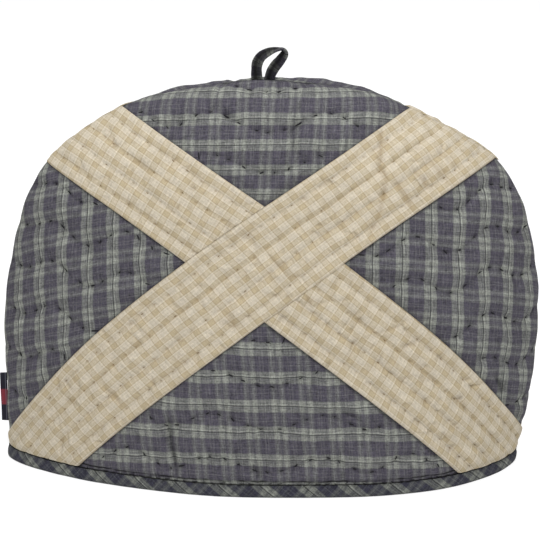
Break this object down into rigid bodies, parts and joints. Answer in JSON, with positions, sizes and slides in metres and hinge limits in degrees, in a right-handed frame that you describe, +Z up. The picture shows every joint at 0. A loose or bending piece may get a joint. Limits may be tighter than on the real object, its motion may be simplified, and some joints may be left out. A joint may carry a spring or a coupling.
{
  "type": "quilted tea cosy",
  "caption": "Padded dome cover for a teapot: two quilted plaid panels, a diagonal cross of check strips on each, a bound hem, a hanging loop and a side tab.",
  "frame": {"origin": "on the floor under the middle of the cosy's bounding box", "axes": "+X along the wide way to the right of the front, +Y through to the back, +Z up; the front faces -Y"},
  "size_m": [0.36, 0.1262, 0.2884],
  "materials": {
    "slate_plaid": "matt woven cotton, slate and sage plaid, padded and quilted",
    "cream_check": "matt woven cotton, cream and tan check",
    "bias_plaid": "matt woven cotton, slate plaid cut on the bias",
    "navy_tape": "woven tape, navy with a dull red band"
  },
  "bodies": {
    "root": {"front_panel": "slate_plaid", "back_panel": "slate_plaid", "front_bar_whole": "cream_check", "front_bar_upper": "cream_check", "front_bar_lower": "cream_check", "back_bar_whole": "cream_check", "back_bar_upper": "cream_check", "back_bar_lower": "cream_check", "hem_binding": "bias_plaid", "hanging_loop": "bias_plaid", "side_tab": "navy_tape"}
  },
  "joints": []
}
